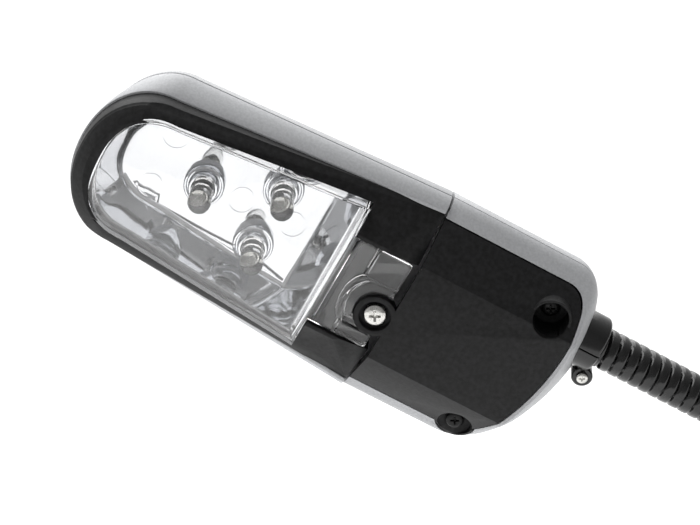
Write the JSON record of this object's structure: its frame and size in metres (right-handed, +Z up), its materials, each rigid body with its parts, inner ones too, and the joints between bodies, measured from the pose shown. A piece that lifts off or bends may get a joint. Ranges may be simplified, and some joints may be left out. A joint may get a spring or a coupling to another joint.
{
  "type": "clip-on reading lamp",
  "caption": "Battery reading lamp: a flat two-part LED head with a clear lens on a ribbed gooseneck that rises from a sprung clip.",
  "frame": {"origin": "centre of the upper jaw pad's gripping face", "axes": "+Z up through the clip and the neck's foot, -X out of the jaws' mouth, -Y towards the side that the lens faces"},
  "size_m": [0.2046, 0.0524, 0.2127],
  "materials": {
    "silver_plastic": "silver painted, satin",
    "black_plastic": "fine moulded texture",
    "clear_plastic": "clear, polished",
    "chromed_plastic": "vacuum chromed",
    "led_epoxy": "clear epoxy",
    "plated_steel": "zinc plated",
    "circuit_board": "solder mask",
    "nickel_brass": "nickel plated",
    "button_plastic": "moulded",
    "rubber": "moulded",
    "battery": "printed sleeve",
    "gooseneck": "black PVC over a steel spring"
  },
  "bodies": {
    "clip": {"clip_body": "silver_plastic", "upper_pad": "rubber", "jaw_pin": "plated_steel", "torsion_spring": "plated_steel", "battery_1": "battery", "battery_2": "battery", "battery_3": "battery", "contact_front": "nickel_brass", "contact_rear": "nickel_brass", "neck_1": "gooseneck"},
    "jaw": {"lower_jaw": "silver_plastic", "lower_pad": "rubber"},
    "door": {"battery_door": "black_plastic"},
    "neck_link_2": {"neck_2": "gooseneck"},
    "neck_link_3": {"neck_3": "gooseneck"},
    "neck_link_4": {"neck_4": "gooseneck"},
    "neck_link_5": {"neck_5": "gooseneck"},
    "neck_link_6": {"neck_6": "gooseneck"},
    "head": {"neck_7": "gooseneck", "front_side_frame": "silver_plastic", "front_top_cap": "silver_plastic", "rear_side_frame": "silver_plastic", "rear_top_cap": "silver_plastic", "front_bezel": "black_plastic", "rear_cover": "black_plastic", "neck_clamp_upper": "black_plastic", "neck_clamp_lower": "black_plastic", "switch_body": "black_plastic", "driver_chip": "black_plastic", "lens_cover": "clear_plastic", "reflector_tray": "chromed_plastic", "led_1": "led_epoxy", "led_2": "led_epoxy", "led_3": "led_epoxy", "lens_screw": "plated_steel", "cover_screw_1": "plated_steel", "cover_screw_2": "plated_steel", "clamp_screw": "plated_steel", "neck_ferrule": "plated_steel", "led_board": "circuit_board", "driver_board": "circuit_board", "resistor_1": "nickel_brass", "resistor_2": "nickel_brass"},
    "button": {"switch_button": "button_plastic"}
  },
  "joints": [
    {"name": "neck_bend_1", "type": "hinge", "parent": "clip", "child": "neck_link_2", "pos_m": [0.019, 0, 0.04322], "axis": [0.146, -0.9893, 0], "range_deg": [-25, 25]},
    {"name": "neck_bend_2", "type": "hinge", "parent": "neck_link_2", "child": "neck_link_3", "pos_m": [0.019, 0, 0.06405], "axis": [0.9893, 0.146, 0], "range_deg": [-25, 25]},
    {"name": "neck_bend_3", "type": "hinge", "parent": "neck_link_3", "child": "neck_link_4", "pos_m": [0.0167, -0.00034, 0.08465], "axis": [0.146, -0.9893, 0], "range_deg": [-25, 25]},
    {"name": "neck_bend_4", "type": "hinge", "parent": "neck_link_4", "child": "neck_link_5", "pos_m": [0.00754, -0.00169, 0.10318], "axis": [0.7917, 0.1168, 0.5996], "range_deg": [-25, 25]},
    {"name": "neck_bend_5", "type": "hinge", "parent": "neck_link_5", "child": "neck_link_6", "pos_m": [-0.00747, -0.00391, 0.11727], "axis": [0.146, -0.9893, 0], "range_deg": [-25, 25]},
    {"name": "neck_bend_6", "type": "hinge", "parent": "neck_link_6", "child": "head", "pos_m": [-0.02569, -0.0066, 0.12697], "axis": [0.4493, 0.0663, 0.8909], "range_deg": [-25, 25]},
    {"name": "jaw_hinge", "type": "hinge", "parent": "clip", "child": "jaw", "pos_m": [0.028, 0, -0.006], "axis": [0, -1, 0], "range_deg": [0, 24], "stiffness_Nm_per_rad": 0.2, "springref_deg": -34.38},
    {"name": "door_slide", "type": "slide", "parent": "clip", "child": "door", "axis": [1, 0, 0], "range_m": [0, 0.012]},
    {"name": "button_press", "type": "slide", "parent": "head", "child": "button", "axis": [-0.0802, -0.9063, -0.415], "range_m": [0, 0.0012], "stiffness_N_per_m": 400}
  ]
}
